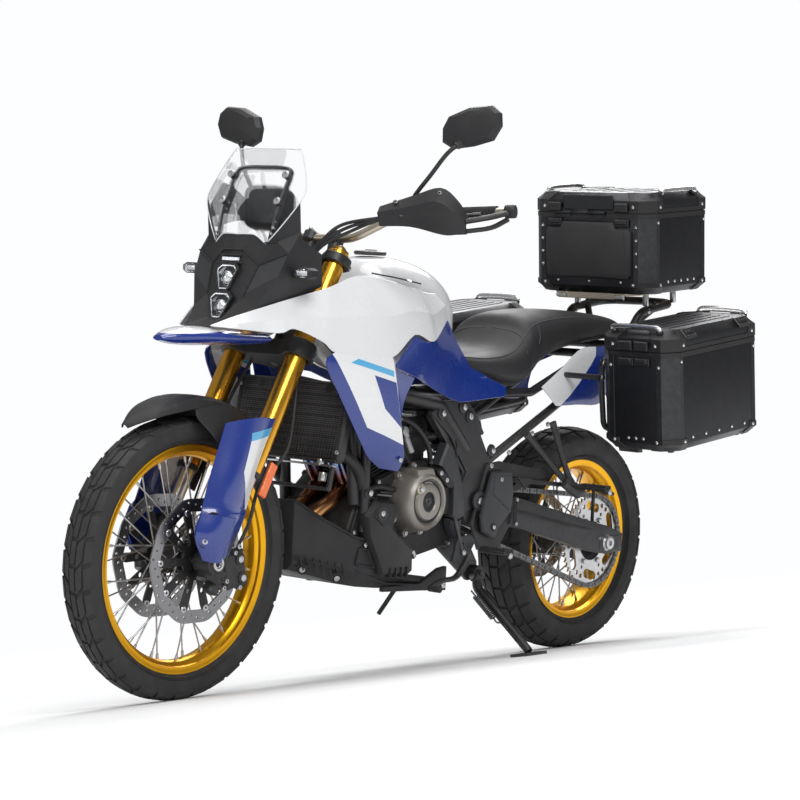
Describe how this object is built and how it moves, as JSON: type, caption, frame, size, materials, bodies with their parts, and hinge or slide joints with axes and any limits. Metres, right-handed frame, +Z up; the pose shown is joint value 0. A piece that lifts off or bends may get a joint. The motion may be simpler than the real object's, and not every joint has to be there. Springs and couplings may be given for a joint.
{
  "type": "adventure motorcycle",
  "caption": "Adventure motorcycle with wire-spoked wheels, upside-down fork, beak, tall screen, hand guards, and hinged metal luggage cases, leaning on its side stand.",
  "frame": {"origin": "middle of the whole machine's box, on the floor", "axes": "+X towards the front wheel, +Y to the rider's left, +Z up; the machine leans 11.5 degrees to its left on its side stand"},
  "size_m": [2.3148, 1.147, 1.5372],
  "materials": {
    "tyre": "matt block tread",
    "rim": "gold anodised",
    "hub": "satin black, steel spokes",
    "disc": "ground, drilled",
    "sprocket": "machined",
    "axle": "satin",
    "swingarm": "textured dark grey",
    "chain": "oiled",
    "black_plastic": "grained",
    "fork_gold": "gold anodised",
    "fork_black": "satin black",
    "bar": "champagne anodised",
    "controls": "ribbed grips, black levers",
    "mirror": "black shell, silvered glass",
    "engine": "cast, dark grey coat",
    "covers": "cast, warm grey coat",
    "frame": "satin black",
    "exhaust": "heat-coloured pipes, satin black muffler",
    "radiator": "black core",
    "tank": "gloss white",
    "seat": "black, padded and seamed",
    "blue": "gloss blue",
    "white": "gloss white",
    "lamp": "clear lens over reflectors",
    "screen": "clear",
    "rack": "satin silver",
    "case": "brushed, black anodised",
    "case_plate": "champagne anodised",
    "shock": "steel body and spring"
  },
  "bodies": {
    "chassis": {"rear_axle": "axle", "swingarm": "swingarm", "chain": "chain", "chain_guard": "black_plastic", "engine": "engine", "engine_covers": "covers", "frame": "frame", "subframe": "frame", "exhaust": "exhaust", "radiator": "radiator", "skid_plate": "black_plastic", "fuel_tank": "tank", "seat": "seat", "shrouds": "blue", "upper_shrouds": "white", "side_panels": "blue", "tail_panels": "white", "cowl": "black_plastic", "headlamps": "lamp", "beak": "white", "windscreen": "screen", "screen_bracket": "frame", "dash": "black_plastic", "signal_lights": "lamp", "rear_fender": "black_plastic", "footpegs": "frame", "rear_rack": "frame", "pannier_racks": "rack", "top_case": "case", "left_case": "case", "right_case": "case", "case_plate": "case_plate", "rear_shock": "shock", "rear_caliper": "fork_black"},
    "fork": {"front_axle": "axle", "fork_tubes": "fork_gold", "fork_lowers": "fork_black", "yokes": "fork_black", "handlebar": "bar", "controls": "controls", "handguards": "black_plastic", "mirrors": "mirror", "front_fender": "black_plastic", "fork_guards": "blue", "front_calipers": "fork_black"},
    "front_wheel": {"front_tyre": "tyre", "front_rim": "rim", "front_hub": "hub", "front_discs": "disc"},
    "rear_wheel": {"rear_tyre": "tyre", "rear_rim": "rim", "rear_hub": "hub", "rear_disc": "disc", "rear_sprocket": "sprocket"},
    "stand": {"side_stand": "frame"},
    "top_lid": {"top_case_lid": "case"},
    "left_lid": {"left_case_lid": "case"},
    "right_lid": {"right_case_lid": "case"},
    "tank_cap": {"fuel_cap": "fork_black"}
  },
  "joints": [
    {"name": "steering", "type": "hinge", "parent": "chassis", "child": "fork", "pos_m": [0.42824, -0.00108, 0.91631], "axis": [-0.4689, 0.176, 0.8655], "range_deg": [-40, 40]},
    {"name": "front_wheel_spin", "type": "hinge", "parent": "fork", "child": "front_wheel", "pos_m": [0.81036, -0.11805, 0.34114], "axis": [-0.0001, 0.9799, -0.1994], "continuous": true},
    {"name": "rear_wheel_spin", "type": "hinge", "parent": "chassis", "child": "rear_wheel", "pos_m": [-0.75966, -0.12323, 0.31662], "axis": [-0.0001, 0.9799, -0.1994], "continuous": true},
    {"name": "stand_swing", "type": "hinge", "parent": "chassis", "child": "stand", "pos_m": [-0.25171, -0.0476, 0.23663], "axis": [-0.0001, 0.9799, -0.1994], "range_deg": [0, 90]},
    {"name": "top_lid_hinge", "type": "hinge", "parent": "chassis", "child": "top_lid", "pos_m": [-0.80882, 0.06411, 1.2375], "axis": [-0.0001, 0.9799, -0.1994], "range_deg": [0, 95]},
    {"name": "left_lid_hinge", "type": "hinge", "parent": "chassis", "child": "left_lid", "pos_m": [-0.72069, 0.26388, 0.83797], "axis": [0.9914, -0.026, -0.1283], "range_deg": [0, 85]},
    {"name": "right_lid_hinge", "type": "hinge", "parent": "chassis", "child": "right_lid", "pos_m": [-0.72063, -0.27586, 0.94778], "axis": [-0.9914, 0.026, 0.1283], "range_deg": [0, 85]},
    {"name": "tank_cap_hinge", "type": "hinge", "parent": "chassis", "child": "tank_cap", "pos_m": [0.18011, 0.03407, 1.08921], "axis": [-0.0001, 0.9799, -0.1994], "range_deg": [0, 90]}
  ]
}
